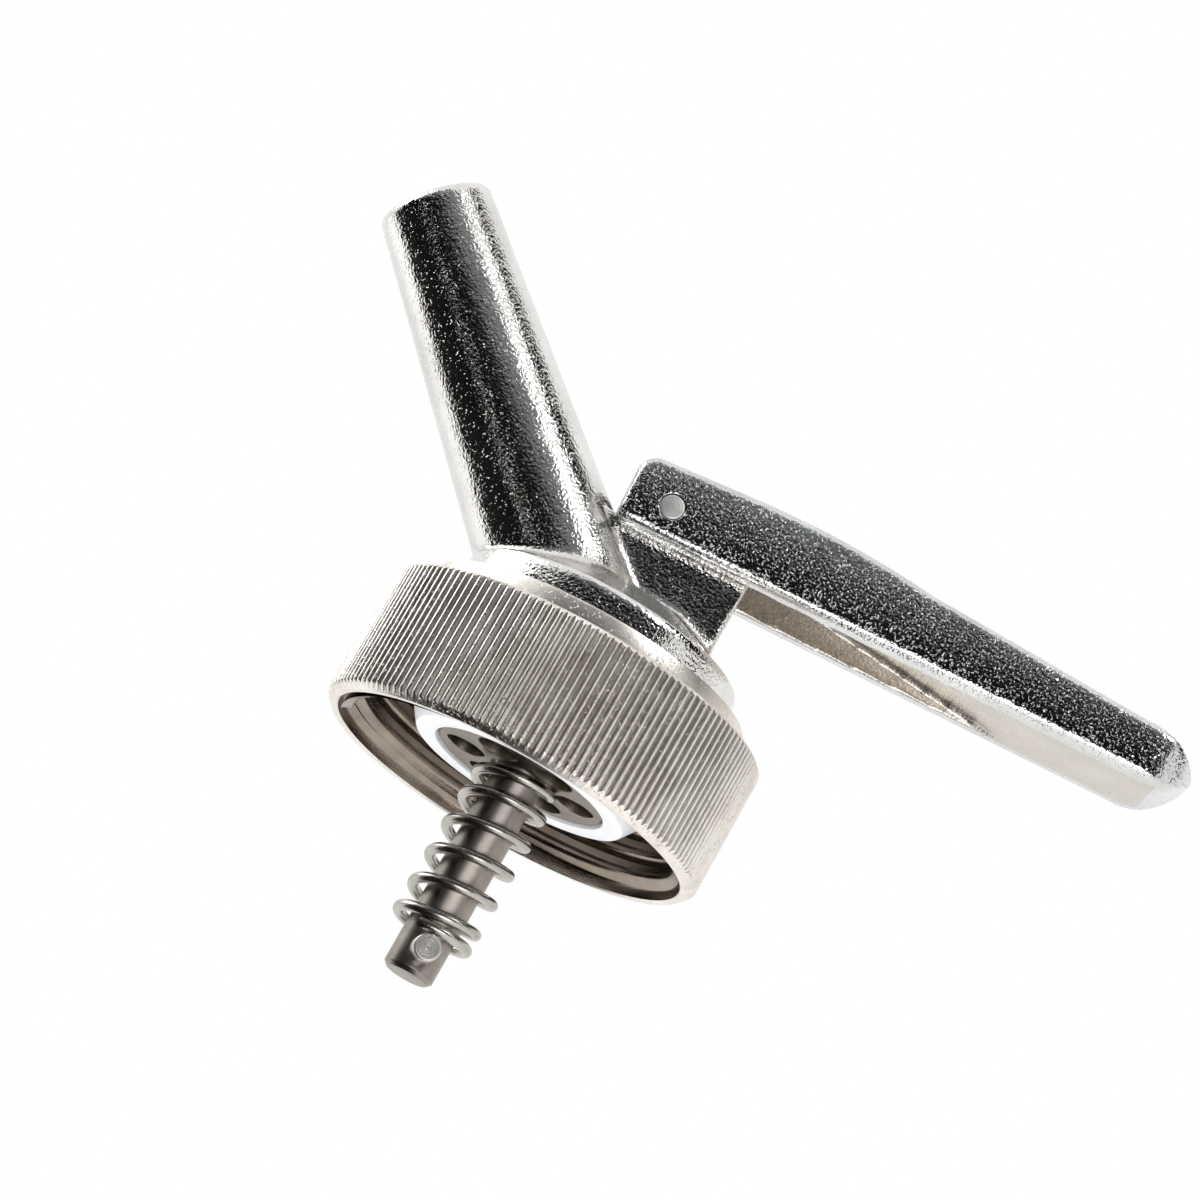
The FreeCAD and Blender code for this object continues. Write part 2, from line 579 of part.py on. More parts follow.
nose_plan = outline(lever, "NosePlan", "XY_Plane", [
    ("[nose_reach] - [plan_round]", "[lever_width] / 2 + 1"),
    ("[nose_reach] - [plan_round]", "[lever_width] / 2", "[plan_round]", "inward"),
    ("[nose_reach]", "[lever_width] / 2 - [plan_round]"),
    ("[nose_reach]", "-[lever_width] / 2 + [plan_round]", "[plan_round]", "inward"),
    ("[nose_reach] - [plan_round]", "-[lever_width] / 2"),
    ("[nose_reach] - [plan_round]", "-[lever_width] / 2 - 1"),
    ("[nose_reach] + 3", "-[lever_width] / 2 - 1"),
    ("[nose_reach] + 3", "[lever_width] / 2 + 1"),
])
pad_middle(lever, "NoseCorners", nose_plan, "4 * [pin_height]", cut=True)
channel = outline(lever, "ChannelSide", "XZ_Plane", [
    ("-[lever_heel] - 1", "-[lever_drop] - 1"),
    ("([channel_height] + [lever_drop] + 1) / tan([channel_fall])", "-[lever_drop] - 1"),
    ("-[lever_heel] - 1", "[channel_height] + ([lever_heel] + 1) * tan([channel_fall])"),
])
lean_sketch(channel, "[pin_height]", "[lever_tilt]")
pad_middle(lever, "Channel", channel, "[channel_width]", cut=True)
lever_hole = circle(lever, "PinHoleCircle", "XZ_Plane", "0", "[pin_height]", "[pin_radius]")
pad_middle(lever, "PinHole", lever_hole, "[lever_width] + 2", cut=True)

# Link pin: plain pin pressed into the cheeks, through the head of the stem.
link_pin = new_body("link_pin")
pin_half = "([lever_width] / 2 - [pin_sink])"
pin_section = outline(link_pin, "PinSection", "XZ_Plane", [
    ("0", "-" + pin_half),
    ("[pin_radius] - [pin_chamfer]", "-" + pin_half),
    ("[pin_radius]", "-" + pin_half + " + [pin_chamfer]"),
    ("[pin_radius]", pin_half + " - [pin_chamfer]"),
    ("[pin_radius] - [pin_chamfer]", pin_half),
    ("0", pin_half),
])
turn(link_pin, "PinTurned", pin_section)
link_pin.Placement = FreeCAD.Placement(
    FreeCAD.Vector(0, 0, size("pin_height")), FreeCAD.Rotation(FreeCAD.Vector(1, 0, 0), 90))
link_pin.setExpression("Placement.Base.z", "Sizes.pin_height")

doc.recompute()

for item in doc.Objects:
    if "Invalid" in item.State or "Error" in item.State:
        raise RuntimeError(f"{item.Name} could not be built: {item.State}")

PIECES = [
    "body_casting", "union_nut", "cone_seal", "valve_insert", "stem_guide", "valve_stem",
    "valve_washer", "valve_disc", "stem_clip", "lower_o_ring", "gland_spacer", "upper_o_ring",
    "gland_bush", "return_spring", "spring_cross_pin", "lever", "link_pin",
]
os.makedirs("parts", exist_ok=True)
for label in PIECES:
    shape = doc.getObject(label).Shape
    if shape.isNull() or not shape.isValid() or len(shape.Solids) != 1:
        raise RuntimeError(f"{label} has no valid single solid")
    shape.exportStep(f"parts/{label}.step")
    print(label, round(shape.Volume, 1))
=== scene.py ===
import math

import bmesh
import bpy
from mathutils import Matrix, Vector


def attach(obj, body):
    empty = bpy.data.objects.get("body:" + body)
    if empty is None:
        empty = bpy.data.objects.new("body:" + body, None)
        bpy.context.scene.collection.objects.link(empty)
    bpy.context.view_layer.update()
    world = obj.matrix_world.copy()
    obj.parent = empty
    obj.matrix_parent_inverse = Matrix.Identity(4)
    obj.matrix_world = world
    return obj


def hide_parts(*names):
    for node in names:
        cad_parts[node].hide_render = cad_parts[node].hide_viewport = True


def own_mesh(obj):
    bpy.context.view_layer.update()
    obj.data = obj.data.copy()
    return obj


# A self-closing dosing tap for a canister neck, dressed piece by piece in the order in which
# it is put together. Metres, +Z up the stem axis, +X along the lever, spout to -X.
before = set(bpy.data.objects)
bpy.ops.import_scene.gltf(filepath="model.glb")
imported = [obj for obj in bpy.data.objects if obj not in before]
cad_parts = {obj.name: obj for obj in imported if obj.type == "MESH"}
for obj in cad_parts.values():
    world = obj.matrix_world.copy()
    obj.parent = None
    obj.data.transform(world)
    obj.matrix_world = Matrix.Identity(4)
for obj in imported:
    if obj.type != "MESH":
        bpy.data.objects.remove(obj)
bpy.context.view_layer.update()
MM = 0.001


# ---- Camera -------------------------------------------------------------------------------
# A long lens a little below the tap, rolled clockwise, as in the photograph.
CAMERA_PLACE = Vector((13.97, -671.32, -156.77)) * MM
CAMERA_AIM = Vector((-2.35, -7.57, 29.16)) * MM
CAMERA_ROLL = math.radians(29.84)
CAMERA_LENS = 150.0

camera_data = bpy.data.cameras.new("camera")
camera_data.lens = CAMERA_LENS
camera_data.sensor_width = 36.0
camera_data.clip_start = 0.02
camera_data.clip_end = 20.0
camera = bpy.data.objects.new("camera", camera_data)
bpy.context.scene.collection.objects.link(camera)
upright = (CAMERA_AIM - CAMERA_PLACE).to_track_quat("-Z", "Y").to_matrix().to_4x4()
roll = Matrix.Rotation(CAMERA_ROLL, 4, "Z")
camera.matrix_world = Matrix.Translation(CAMERA_PLACE) @ upright @ roll
bpy.context.scene.camera = camera
bpy.context.scene.view_settings.view_transform = "Standard"


# ---- Studio -------------------------------------------------------------------------------
# White surroundings, a pale floor well below the tap, three soft boxes, and dark cards out of
# the camera's sight that give the bright plating its black and charcoal reflections.
def srgb(code):
    """A hex colour as linear red, green, blue and alpha."""
    channels = [int(code[i:i + 2], 16) / 255 for i in (1, 3, 5)]
    linear = [c / 12.92 if c <= 0.04045 else ((c + 0.055) / 1.055) ** 2.4 for c in channels]
    return (*linear, 1.0)


def add_node(tree, kind, inputs=None, **settings):
    """A node with its settings. An input given as another node's output is linked to it."""
    node = tree.nodes.new(kind)
    for name, value in settings.items():
        setattr(node, name, value)
    for name, value in (inputs or {}).items():
        if isinstance(value, bpy.types.NodeSocket):
            tree.links.new(value, node.inputs[name])
        else:
            node.inputs[name].default_value = value
    return node


def two_tone(tree, value, shades, start=0.3, end=0.7):
    """A colour that goes from one shade to the other as the value passes from start to end."""
    ramp = add_node(tree, "ShaderNodeValToRGB", {"Fac": value})
    for element, position, shade in zip(ramp.color_ramp.elements, (start, end), shades):
        element.position = position
        element.color = srgb(shade)
    return ramp.outputs[0]


def new_material(name):
    """An empty material's node tree and its main shader."""
    material = bpy.data.materials.new(name)
    material.use_nodes = True
    return material, material.node_tree, material.node_tree.nodes["Principled BSDF"]


def deselect():
    """Leave nothing selected."""
    bpy.ops.object.select_all(action="DESELECT")


def select_only(piece):
    """Make one piece the active and only selected one."""
    deselect()
    piece.select_set(True)
    bpy.context.view_layer.objects.active = piece


FLOOR_HEIGHT = -0.19
SURROUND_WHITE = 1.0
SURROUND_FILL = 1.0

world = bpy.data.worlds.new("studio")
world.use_nodes = True
bpy.context.scene.world = world
sky = world.node_tree
sky.nodes.clear()
ray = add_node(sky, "ShaderNodeLightPath")
seen = add_node(sky, "ShaderNodeMath", {0: ray.outputs["Is Camera Ray"],
                                       1: ray.outputs["Is Glossy Ray"]}, operation="MAXIMUM")
seen = add_node(sky, "ShaderNodeMath", {0: seen.outputs[0],
                                       1: ray.outputs["Is Transmission Ray"]},
                operation="MAXIMUM")
fill = add_node(sky, "ShaderNodeBackground", {"Color": srgb("#FFFFFF"),
                                             "Strength": SURROUND_FILL})
white = add_node(sky, "ShaderNodeBackground", {"Color": srgb("#FFFFFF"),
                                              "Strength": SURROUND_WHITE})
mixed = add_node(sky, "ShaderNodeMixShader", {0: seen.outputs[0], 1: fill.outputs[0],
                                             2: white.outputs[0]})
add_node(sky, "ShaderNodeOutputWorld", {"Surface": mixed.outputs[0]})

deselect()
bpy.ops.mesh.primitive_plane_add(size=6.0, location=(0, 0, FLOOR_HEIGHT))
floor = bpy.context.object
floor.name = "floor"
floor_paint, tree, shader = new_material("floor_matt_paint")
shader.inputs["Base Color"].default_value = srgb("#F4F4F3")
shader.inputs["Roughness"].default_value = 0.8
floor.data.materials.append(floor_paint)

CARD_ROUGHNESS = 0.9
CARD_GLOSS = 0.1
card_paint, tree, shader = new_material("black_card")
shader.inputs["Base Color"].default_value = srgb("#0B0A0A")
shader.inputs["Roughness"].default_value = CARD_ROUGHNESS
shader.inputs["Specular IOR Level"].default_value = CARD_GLOSS
# The front card is black below and grey above, so upright walls look charcoal and the core of
# the slanted spout black.
graded_paint, tree, shader = new_material("graded_card")
along_card = add_node(tree, "ShaderNodeSeparateXYZ",
                      {0: add_node(tree, "ShaderNodeTexCoord").outputs["Generated"]})
shade = two_tone(tree, along_card.outputs[1], ("#0B0B0C", "#787A7C"), 0.455, 0.64)
tree.links.new(shade, shader.inputs["Base Color"])
shader.inputs["Roughness"].default_value = CARD_ROUGHNESS
shader.inputs["Specular IOR Level"].default_value = CARD_GLOSS

# name: middle, width, height, and the way the card faces
CARDS = {
    "card_front": ((-0.05, -1.10, 0.42), 2.50, 1.75, (0, 1, 0)),
    "card_low": ((-0.50, -0.38, -0.185), 1.10, 0.96, (0, 0, 1)),
    "card_left": ((-0.95, -0.45, 0.00), 0.90, 0.70, (0.95, 0.45, 0)),
    "card_right": ((0.61, -0.15, 0.64), 0.46, 0.90, (-0.61, 0.15, -0.64)),
}
for name, (middle, width, height, facing) in CARDS.items():
    deselect()
    bpy.ops.mesh.primitive_plane_add(size=1.0)
    card = bpy.context.object
    card.name = name
    card.scale = (width, height, 1)
    card.location = middle
    card.rotation_euler = Vector(facing).to_track_quat("Z", "Y").to_euler()
    card.data.materials.append(graded_paint if name == "card_front" else card_paint)
    card.visible_camera = False
    card.visible_diffuse = False
    card.visible_shadow = False

# name: middle, side, power in watts
LAMPS = {
    "softbox_right": ((0.42, -0.50, 0.60), 0.30, 2.0),
    "softbox_left": ((-0.75, 0.10, 0.35), 0.50, 3.0),
    "softbox_low": ((0.10, -0.35, -0.16), 0.25, 0.5),
}
for name, (middle, side, power) in LAMPS.items():
    lamp_data = bpy.data.lights.new(name, "AREA")
    lamp_data.shape = "SQUARE"
    lamp_data.size = side
    lamp_data.energy = power
    lamp = bpy.data.objects.new(name, lamp_data)
    lamp.location = middle
    lamp.rotation_euler = (-Vector(middle)).to_track_quat("-Z", "Y").to_euler()
    lamp.visible_camera = False
    bpy.context.scene.collection.objects.link(lamp)


# ---- Cast body ----------------------------------------------------------------------------
# One sand casting in brass: neck, shoulder, slanted spout and the fin under the lever. It is
# blasted, tumbled and nickel-plated, so the plating is bright over a grainy, pitted skin.
MERGE_DISTANCE = 0.002 * MM
CAST_VOXEL = 0.42 * MM
CAST_SOFTENING = 3
JUNCTION_SOFTENING = 22
# The junction of spout and shoulder is softened most. Each pair, in millimetres, says where
# the softening starts and where it is full: from below, above, inside and outside.
JUNCTION_BELOW = (28.4, 29.4)
JUNCTION_ABOVE = (39.5, 36.5)
JUNCTION_INSIDE = (5.5, 7.5)
JUNCTION_OUTSIDE = (19.5, 18.0)


def copy_of_node(node, name):
    """A new piece with a merged copy of a CAD node's mesh, which is left as it is."""
    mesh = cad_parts[node].data.copy()
    mesh.name = name
    mesh.materials.clear()
    piece = bpy.data.objects.new(name, mesh)
    bpy.context.scene.collection.objects.link(piece)
    select_only(piece)
    bpy.ops.object.mode_set(mode="EDIT")
    bpy.ops.mesh.select_all(action="SELECT")
    bpy.ops.mesh.remove_doubles(threshold=MERGE_DISTANCE)
    bpy.ops.mesh.customdata_custom_splitnormals_clear()
    bpy.ops.object.mode_set(mode="OBJECT")
    return piece


def apply_modifier(piece, kind, **settings):
    """Add one modifier and apply it."""
    modifier = piece.modifiers.new(kind.lower(), kind)
    for name, value in settings.items():
        setattr(modifier, name, value)
    bpy.context.view_layer.objects.active = piece
    bpy.ops.object.modifier_apply(modifier=modifier.name)


def fade(value, start, end):
    """How far a value has gone from start to end, between 0 and 1."""
    return min(1.0, max(0.0, (value - start) / (end - start)))


def noise(tree, place, scale, detail, roughness=0.5):
    """The value of a noise over the given coordinates."""
    return add_node(tree, "ShaderNodeTexNoise", {"Vector": place, "Scale": scale,
                                                "Detail": detail,
                                                "Roughness": roughness}).outputs["Fac"]


def relief(tree, height, depth, strength=1.0, over=None):
    """A normal bent by a height, with its depth in millimetres, over another one if given."""
    inputs = {"Height": height, "Strength": strength, "Distance": depth * MM}
    if over is not None:
        inputs["Normal"] = over
    return add_node(tree, "ShaderNodeBump", inputs).outputs[0]


def spread(tree, value, low, high, start=0.0, end=1.0):
    """A value stretched from start..end to low..high."""
    return add_node(tree, "ShaderNodeMapRange", {"Value": value, "From Min": start,
                                                "From Max": end, "To Min": low,
                                                "To Max": high}).outputs[0]


def finish_metal(material, tree, shader, colour, gloss, normal):
    """Wire a metal's colour, roughness and normal. The roughness may be one number."""
    tree.links.new(colour, shader.inputs["Base Color"])
    tree.links.new(normal, shader.inputs["Normal"])
    if isinstance(gloss, float):
        shader.inputs["Roughness"].default_value = gloss
    else:
        tree.links.new(gloss, shader.inputs["Roughness"])
    shader.inputs["Metallic"].default_value = 1.0
    return material


def cast_nickel(name, skin, clean, speck, gloss_range, shades):
    """Nickel plate over a blasted casting: bright, with a sandy grain, specks and slow waves.
    Skin and speck are heights in millimetres; specks rise where their noise passes clean."""
    material, tree, shader = new_material(name)
    place = add_node(tree, "ShaderNodeTexCoord").outputs["Object"]
    # Sand grain and patches of steep specks, each of about 0.4 mm, and waves of 6 mm.
    grain = noise(tree, place, 2300.0, 1.5)
    blots = noise(tree, place, 2900.0, 1.0, 0.6)
    waves = noise(tree, place, 170.0, 2.0)
    specks = add_node(tree, "ShaderNodeMath",
                      {0: spread(tree, blots, 0.0, 1.0, clean, clean + 0.08),
                       1: spread(tree, waves, 0.10, 1.0, 0.40, 0.62)},
                      operation="MULTIPLY").outputs[0]
    normal = relief(tree, waves, 0.13)
    normal = relief(tree, specks, speck, over=normal)
    normal = relief(tree, grain, skin, over=normal)
    colour = two_tone(tree, noise(tree, place, 120.0, 4.0), shades)
    gloss = spread(tree, grain, *gloss_range)
    return finish_metal(material, tree, shader, colour, gloss, normal)


casting = copy_of_node("body_casting", "cast_body")
apply_modifier(casting, "REMESH", mode="VOXEL", voxel_size=CAST_VOXEL, adaptivity=0.0,
               use_smooth_shade=True)
junction = casting.vertex_groups.new(name="junction")
for vertex in casting.data.vertices:
    x, y, z = vertex.co / MM
    out = math.hypot(x, y)
    weight = fade(z, *JUNCTION_BELOW) * fade(z, *JUNCTION_ABOVE)
    weight *= fade(out, *JUNCTION_INSIDE) * fade(out, *JUNCTION_OUTSIDE)
    junction.add([vertex.index], weight, "REPLACE")
apply_modifier(casting, "SMOOTH", factor=0.5, iterations=CAST_SOFTENING)
apply_modifier(casting, "SMOOTH", factor=0.5, iterations=JUNCTION_SOFTENING,
               vertex_group="junction")
casting.vertex_groups.clear()
casting.data.materials.append(cast_nickel("cast_nickel_body", 0.09, 0.68, 0.18, (0.05, 0.15),
                                          ("#D6D4D0", "#ECEAE7")))
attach(casting, "tap_body")
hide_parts("body_casting")


# ---- Union nut ----------------------------------------------------------------------------
# Turned from brass bar and nickel-plated: a straight knurl of 150 teeth run out on chamfers,
# a polished hub above it, and a round-crested neck thread inside a smooth counterbore.
NUT_TEETH = 150
TOOTH_CORNERS = 6
# Depth below the crest at a tooth's corners, as a share of the knurl's depth.
TOOTH_SHAPE = (1.0, 0.50, 0.12, 0.0, 0.12, 0.50)
NUT_RADIUS = 29.0 * MM
NUT_HEIGHT = 20.0 * MM
KNURL_DEPTH = 0.5 * MM
LIP_WIDTH = 1.15 * MM
TOP_CHAMFER = 0.7 * MM
HUB_RADIUS = 24.4 * MM
HUB_TOP = 23.4 * MM
HUB_CHAMFER = 0.35 * MM
NECK_BORE = 21.4 * MM
THREAD_ROOF = 17.7 * MM
THREAD_ROOT = 26.0 * MM
COUNTERBORE = 26.9 * MM
COUNTERBORE_DEPTH = 1.7 * MM
THREAD_PITCH = 3.2 * MM
THREAD_START = 0.9 * MM
THREAD_TURNS = 3.6


def set_ring(mesh_edit, radius, height, tooth_root=None, root_height=None):
    """Put the selected loop on a circle, or on the knurl where a tooth's root is given."""
    for vertex in mesh_edit.verts:
        if not vertex.select:
            continue
        angle = math.atan2(vertex.co.y, vertex.co.x)
        step = (angle - math.pi / 2) / (2 * math.pi) * NUT_TEETH * TOOTH_CORNERS
        share = TOOTH_SHAPE[round(step) % TOOTH_CORNERS] if tooth_root is not None else 0.0
        reach = radius + (share * (tooth_root - radius) if share else 0.0)
        level = height + (share * (root_height - height) if share else 0.0)
        vertex.co = (reach * math.cos(angle), reach * math.sin(angle), level)


deselect()
bpy.ops.mesh.primitive_circle_add(vertices=NUT_TEETH * TOOTH_CORNERS,
                                  radius=NUT_RADIUS - LIP_WIDTH, location=(0, 0, 0))
nut = bpy.context.object
nut.name = "knurled_union_nut"
bpy.ops.object.mode_set(mode="EDIT")
knurl_root = NUT_RADIUS - KNURL_DEPTH
# radius, height, and for the knurl the root's radius and height
NUT_RINGS = [
    (NUT_RADIUS - 0.05 * MM, LIP_WIDTH - 0.05 * MM, knurl_root, LIP_WIDTH - KNURL_DEPTH),
    (NUT_RADIUS, LIP_WIDTH + 0.10 * MM, knurl_root, LIP_WIDTH - KNURL_DEPTH + 0.10 * MM),
    (NUT_RADIUS, NUT_HEIGHT - TOP_CHAMFER, knurl_root, NUT_HEIGHT - 0.2 * MM),
    (NUT_RADIUS - TOP_CHAMFER, NUT_HEIGHT, None, None),
    (HUB_RADIUS + 0.15 * MM, NUT_HEIGHT, None, None),
    (HUB_RADIUS, NUT_HEIGHT + 0.15 * MM, None, None),
    (HUB_RADIUS, HUB_TOP - HUB_CHAMFER, None, None),
    (HUB_RADIUS - 0.1 * MM, HUB_TOP - 0.1 * MM, None, None),
    (HUB_RADIUS - HUB_CHAMFER, HUB_TOP, None, None),
    (NECK_BORE + 0.2 * MM, HUB_TOP, None, None),
    (NECK_BORE, HUB_TOP - 0.2 * MM, None, None),
    (NECK_BORE, THREAD_ROOF, None, None),
    (THREAD_ROOT - 0.3 * MM, THREAD_ROOF, None, None),
    (THREAD_ROOT, THREAD_ROOF - 0.3 * MM, None, None),
    (THREAD_ROOT, COUNTERBORE_DEPTH + COUNTERBORE - THREAD_ROOT, None, None),
    (COUNTERBORE - 0.08 * MM, COUNTERBORE_DEPTH + 0.08 * MM, None, None),
    (COUNTERBORE, COUNTERBORE_DEPTH - 0.1 * MM, None, None),
    (COUNTERBORE, 0.2 * MM, None, None),
    (COUNTERBORE + 0.2 * MM, 0.0, None, None),
]
for radius, height, tooth_root, root_height in NUT_RINGS:
    bpy.ops.mesh.extrude_edges_move()
    edit = bmesh.from_edit_mesh(nut.data)
    set_ring(edit, radius, height, tooth_root, root_height)
    bmesh.update_edit_mesh(nut.data)
bpy.ops.mesh.select_all(action="DESELECT")
bpy.ops.mesh.select_non_manifold(extend=False)
bpy.ops.mesh.bridge_edge_loops()
bpy.ops.mesh.select_all(action="SELECT")
bpy.ops.mesh.normals_make_consistent(inside=False)
bpy.ops.object.mode_set(mode="OBJECT")

# The thread's ridge: its section is screwed up the bore, and both ends run out in the wall.
deselect()
bpy.ops.mesh.primitive_circle_add(vertices=10, radius=1.0)
ridge = bpy.context.object
ridge.name = "nut_thread_ridge"
# radius and height in millimetres, from the wall over the crest and back
RIDGE_SECTION = [(26.2, -1.25), (25.9, -1.05), (25.2, -0.72), (24.85, -0.5), (24.7, -0.25),
                 (24.7, 0.25), (24.85, 0.5), (25.2, 0.72), (25.9, 1.05), (26.2, 1.25)]
for vertex, (out, up) in zip(ridge.data.vertices, RIDGE_SECTION):
    vertex.co = (-out * MM, 0, up * MM + THREAD_START)
STEPS_PER_TURN = 120
apply_modifier(ridge, "SCREW", axis="Z", angle=2 * math.pi * THREAD_TURNS,
               screw_offset=THREAD_PITCH * THREAD_TURNS,
               steps=int(STEPS_PER_TURN * THREAD_TURNS),
               render_steps=int(STEPS_PER_TURN * THREAD_TURNS),
               use_merge_vertices=False, use_smooth_shade=True)
bpy.ops.object.mode_set(mode="EDIT")
bpy.ops.mesh.select_all(action="DESELECT")
bpy.ops.mesh.select_non_manifold(extend=False)
bpy.ops.mesh.edge_face_add()
bpy.ops.mesh.select_all(action="SELECT")
bpy.ops.mesh.normals_make_consistent(inside=False)
bpy.ops.object.mode_set(mode="OBJECT")


def turned_nickel(name, shades, roughness, marks, nicks=0.0):
    """Nickel plate over turned brass: satin, with fine rings about the axis. Nicks, given by
    their depth in millimetres, glint on edges that were handled."""
    material, tree, shader = new_material(name)
    place = add_node(tree, "ShaderNodeTexCoord").outputs["Object"]
    # Radius and height about the stem axis carry the cutting tool's rings.
    split = add_node(tree, "ShaderNodeSeparateXYZ", {0: place})
    flat = add_node(tree, "ShaderNodeCombineXYZ", {0: split.outputs[0], 1: split.outputs[1]})
    radius = add_node(tree, "ShaderNodeVectorMath", {0: flat.outputs[0]}, operation="LENGTH")
    rings = add_node(tree, "ShaderNodeCombineXYZ", {0: radius.outputs["Value"],
                                                   2: split.outputs[2]}).outputs[0]
    # Rings about 0.25 mm apart, a little coarser than the real feed so that they show.
    normal = relief(tree, noise(tree, rings, 4000.0, 2.0), 0.02, marks)
    normal = relief(tree, noise(tree, place, 3500.0, 2.0), 0.05, marks, over=normal)
    if nicks:
        dents = spread(tree, noise(tree, place, 2600.0, 1.0), 0.0, 1.0, 0.64, 0.72)
        normal = relief(tree, dents, nicks, over=normal)
    cloud = noise(tree, place, 220.0, 3.0)
    colour = two_tone(tree, cloud, shades)
    gloss = spread(tree, cloud, roughness - 0.05, roughness + 0.05)
    return finish_metal(material, tree, shader, colour, gloss, normal)


def smooth_shading(piece, degrees):
    """Shade a piece smooth, apart from edges that turn by more than the given angle."""
    select_only(piece)
    bpy.ops.object.shade_smooth_by_angle(angle=math.radians(degrees))


select_only(nut)
ridge.select_set(True)
bpy.ops.object.join()
smooth_shading(nut, 40)
nut.data.materials.append(turned_nickel("turned_nickel_nut", ("#E2DBD3", "#F4EFE9"), 0.32, 0.5,
                                        nicks=0.20))
# The plating is thin and browner inside the bore.
nut.data.materials.append(turned_nickel("turned_nickel_bore", ("#85796D", "#9C9084"), 0.20, 0.6))
for face in nut.data.polygons:
    if math.hypot(face.center.x, face.center.y) < COUNTERBORE and face.center.z < THREAD_ROOF:
        face.material_index = 1
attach(nut, "nut")
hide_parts("union_nut")


# ---- Lever --------------------------------------------------------------------------------
# A second casting with the same plating: a channel with a humped back that closes to a flat
# thumb pad at the nose. Its rims are a little rougher where the mould's halves met.
LEVER_VOXEL = 0.34 * MM
LEVER_SOFTENING = 3
LEVER_SLOPE = math.radians(3.15)
# In millimetres: the cheeks' crown is measured from its middle, above the pin, over its half
# height; the cheeks lie outside CHEEK_INSIDE, and the channel's walls inside CHANNEL_HALF.
CROWN_MIDDLE = 0.8
CROWN_HALF = 5.5
CHEEK_CROWN = 0.30
CROWN_LIMIT = 1.5 * CHEEK_CROWN
CHEEK_INSIDE = 8.5
CHANNEL_HALF = 6.95
CHANNEL_START = 3.0
LINK_PIN_HEIGHT = 45.3 * MM
LINK_HOLE_RADIUS = 1.92 * MM


def drill(piece, radius, depth, middle, vertices, rotation=(0, 0, 0)):
    """Cut one round hole through a piece."""
    deselect()
    bpy.ops.mesh.primitive_cylinder_add(vertices=vertices, radius=radius, depth=depth,
                                        location=middle, rotation=rotation)
    cutter = bpy.context.object
    apply_modifier(piece, "BOOLEAN", operation="DIFFERENCE", solver="EXACT", object=cutter)
    bpy.data.objects.remove(cutter)


# The hole is filled with the pin while the skin is softened, then cut again with a clean edge.
hole_plug = copy_of_node("link_pin", "hole_plug")
lever = copy_of_node("lever", "cast_lever")
hole_plug.select_set(True)
bpy.ops.object.join()
apply_modifier(lever, "REMESH", mode="VOXEL", voxel_size=LEVER_VOXEL, adaptivity=0.0,
               use_smooth_shade=True)
apply_modifier(lever, "SMOOTH", factor=0.5, iterations=LEVER_SOFTENING)
# The cheeks are a little crowned: they draw in towards the rim and the back.
for vertex in lever.data.vertices:
    x, y, z = vertex.co / MM
    height = z - LINK_PIN_HEIGHT / MM - x * math.tan(LEVER_SLOPE)
    if abs(y) > CHEEK_INSIDE:
        drawn = CHEEK_CROWN * ((height - CROWN_MIDDLE) / CROWN_HALF) ** 2
        vertex.co.y -= math.copysign(min(drawn, CROWN_LIMIT) * MM, y)
drill(lever, LINK_HOLE_RADIUS, 30 * MM, (0, 0, LINK_PIN_HEIGHT), 72, (math.radians(90), 0, 0))
lever.data.materials.append(cast_nickel("cast_nickel_lever", 0.07, 0.60, 0.40, (0.05, 0.15),
                                        ("#CFCFCE", "#E2E3E3")))
# The channel isn't blasted, so its walls are smoother; their brown is a painted warm reflection.
lever.data.materials.append(cast_nickel("cast_nickel_channel_warm_reflection", 0.05, 0.66, 0.04, (0.22, 0.32),
                                        ("#C6BFB6", "#D3CDC5")))
# Faces inside the channel take the browner colour, a painted warm reflection.
for face in lever.data.polygons:
    x, y, z = face.center / MM
    faces_in = face.normal.z < 0.3 and face.normal.x < 0.35
    if abs(y) < CHANNEL_HALF and x > CHANNEL_START and faces_in:
        face.material_index = 1
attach(lever, "handle")
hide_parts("lever")


# ---- Seal and valve insert ----------------------------------------------------------------
# The cone seal is moulded from white polyethylene, with soft edges; the perforated insert in
# its middle is turned and drilled brass, plated less brightly than the nut.
FLAT_WITHIN = math.radians(0.6)
SHARP_FROM = math.radians(30)


def soften_edges(piece, width, segments=2):
    """Round a turned piece's edges a little, as a deburred edge is."""
    bpy.context.view_layer.objects.active = piece
    bpy.ops.object.mode_set(mode="EDIT")
    bpy.ops.mesh.select_all(action="SELECT")
    bpy.ops.mesh.dissolve_limited(angle_limit=FLAT_WITHIN)
    bpy.ops.object.mode_set(mode="OBJECT")
    apply_modifier(piece, "BEVEL", width=width, segments=segments, limit_method="ANGLE",
                   angle_limit=SHARP_FROM, harden_normals=False)
    smooth_shading(piece, 35)


def white_polyethylene():
    """Moulded polyethylene: milky, faintly blue, soft in its gloss, with a fine haze."""
    material, tree, shader = new_material("white_polyethylene")
    place = add_node(tree, "ShaderNodeTexCoord").outputs["Object"]
    haze = noise(tree, place, 900.0, 3.0)
    colour = two_tone(tree, haze, ("#F0F3F9", "#F9FBFF"), 0.0, 1.0)
    tree.links.new(colour, shader.inputs["Base Color"])
    tree.links.new(relief(tree, haze, 0.02, 0.4), shader.inputs["Normal"])
    shader.inputs["Roughness"].default_value = 0.42
    shader.inputs["Subsurface Weight"].default_value = 0.25
    shader.inputs["Subsurface Radius"].default_value = (0.6 * MM, 0.7 * MM, 0.8 * MM)
    shader.inputs["Subsurface Scale"].default_value = 1.0
    return material


def dress_node(node, material):
    """Give a CAD node that keeps its own shape its material."""
    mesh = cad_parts[node].data
    mesh.materials.clear()
    mesh.materials.append(material)


seal = copy_of_node("cone_seal", "white_cone_seal")
soften_edges(seal, 0.35 * MM, 3)
seal.data.materials.append(white_polyethylene())
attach(seal, "tap_body")
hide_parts("cone_seal")

